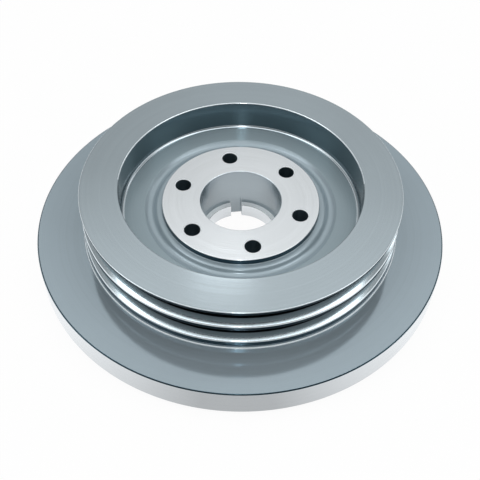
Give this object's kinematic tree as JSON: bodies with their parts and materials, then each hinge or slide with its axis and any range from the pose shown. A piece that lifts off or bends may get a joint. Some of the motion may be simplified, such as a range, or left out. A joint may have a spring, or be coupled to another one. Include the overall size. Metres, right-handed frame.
{
  "type": "harmonic balancer",
  "caption": "Crankshaft vibration damper with a grooved V-belt pulley, dished web, bolted hub with stepped keyed bore, and a heavy inertia ring held on a rubber joint.",
  "frame": {"origin": "centre of the hub's flat rear face, on the shaft's axis", "axes": "+Z along the shaft's axis, forward out of the bowl and away from the engine; the first screw hole stands 41.4 degrees from +X and the keyway 97.3 degrees"},
  "size_m": [0.23, 0.23, 0.0489],
  "materials": {
    "turned_iron": "turned, satin blue-grey, with a bare bright hub face",
    "damper_rubber": "matt moulded rubber",
    "turned_steel": "turned, satin blue-grey"
  },
  "bodies": {
    "root": {"pulley_hub": "turned_iron", "rubber_ring": "damper_rubber", "inertia_ring": "turned_steel"}
  },
  "joints": []
}
